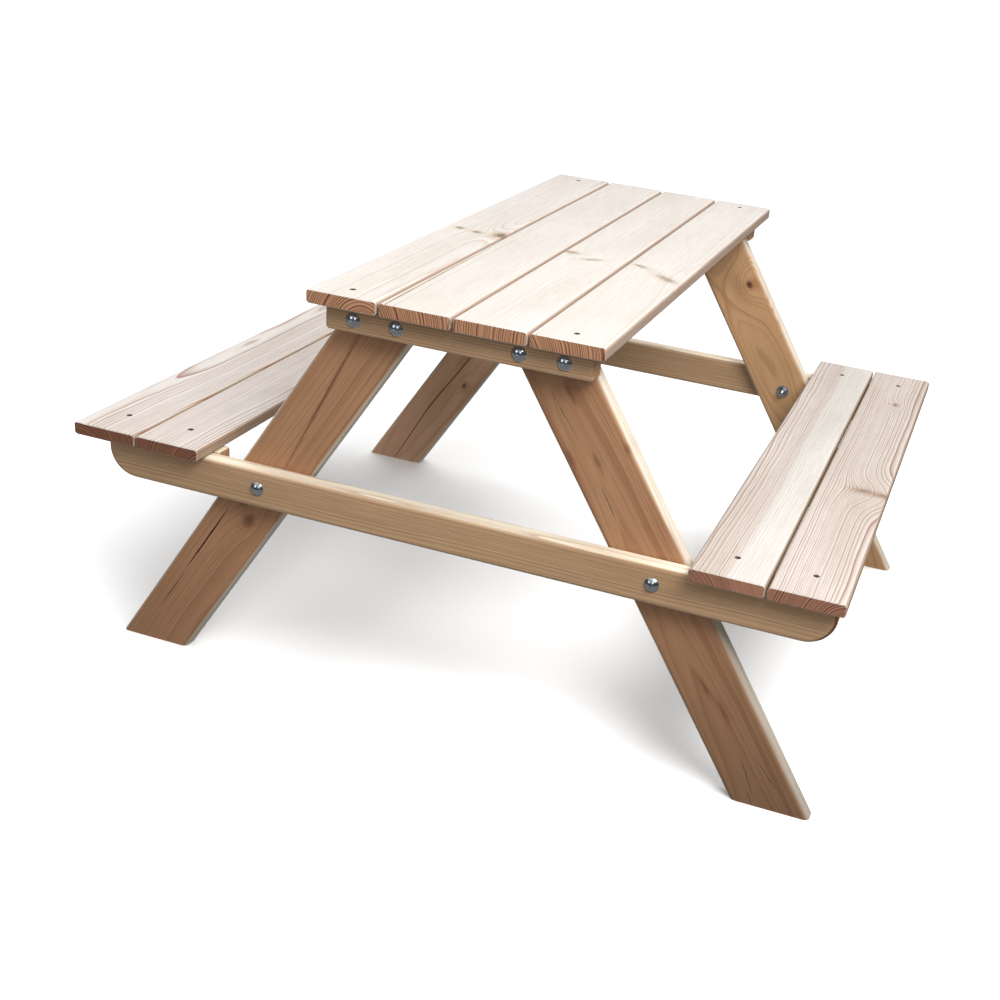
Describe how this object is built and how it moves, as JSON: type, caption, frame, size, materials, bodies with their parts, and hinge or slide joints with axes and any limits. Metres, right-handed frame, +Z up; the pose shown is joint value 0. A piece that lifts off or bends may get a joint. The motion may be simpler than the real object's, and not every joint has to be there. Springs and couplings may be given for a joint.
{
  "type": "picnic table",
  "caption": "Children's A-frame picnic table in planed pine, slatted table top and two slatted side seats on bolted end frames.",
  "frame": {"origin": "on the ground, at the middle of the footprint of the whole table", "axes": "+Z up, +X across the table from the left seat to the right seat, +Y along the boards from the front frame to the rear frame"},
  "size_m": [1.0654, 0.9, 0.592],
  "materials": {
    "planed_pine_table": "planed, untreated",
    "planed_pine_seats": "planed, untreated",
    "planed_pine_frame": "planed, untreated",
    "zinc_plated_bolts": "bright zinc plated",
    "zinc_plated_screws": "zinc plated, dulled"
  },
  "bodies": {
    "root": {"front_batten": "planed_pine_frame", "front_batten_bolts": "zinc_plated_bolts", "front_batten_cap_nuts": "zinc_plated_bolts", "front_batten_screws": "zinc_plated_screws", "front_batten_washers": "zinc_plated_bolts", "front_cleat_screws": "zinc_plated_screws", "front_left_cleat": "planed_pine_frame", "front_left_leg": "planed_pine_frame", "front_rail_bolts": "zinc_plated_bolts", "front_rail_cap_nuts": "zinc_plated_bolts", "front_rail_washers": "zinc_plated_bolts", "front_right_cleat": "planed_pine_frame", "front_right_leg": "planed_pine_frame", "front_seat_rail": "planed_pine_frame", "front_seat_screws": "zinc_plated_screws", "front_table_screws": "zinc_plated_screws", "left_seat_board_inner": "planed_pine_seats", "left_seat_board_outer": "planed_pine_seats", "rear_batten": "planed_pine_frame", "rear_batten_bolts": "zinc_plated_bolts", "rear_batten_cap_nuts": "zinc_plated_bolts", "rear_batten_screws": "zinc_plated_screws", "rear_batten_washers": "zinc_plated_bolts", "rear_cleat_screws": "zinc_plated_screws", "rear_left_cleat": "planed_pine_frame", "rear_left_leg": "planed_pine_frame", "rear_rail_bolts": "zinc_plated_bolts", "rear_rail_cap_nuts": "zinc_plated_bolts", "rear_rail_washers": "zinc_plated_bolts", "rear_right_cleat": "planed_pine_frame", "rear_right_leg": "planed_pine_frame", "rear_seat_rail": "planed_pine_frame", "rear_seat_screws": "zinc_plated_screws", "rear_table_screws": "zinc_plated_screws", "right_seat_board_inner": "planed_pine_seats", "right_seat_board_outer": "planed_pine_seats", "top_board_1": "planed_pine_table", "top_board_2": "planed_pine_table", "top_board_3": "planed_pine_table", "top_board_4": "planed_pine_table"}
  },
  "joints": []
}
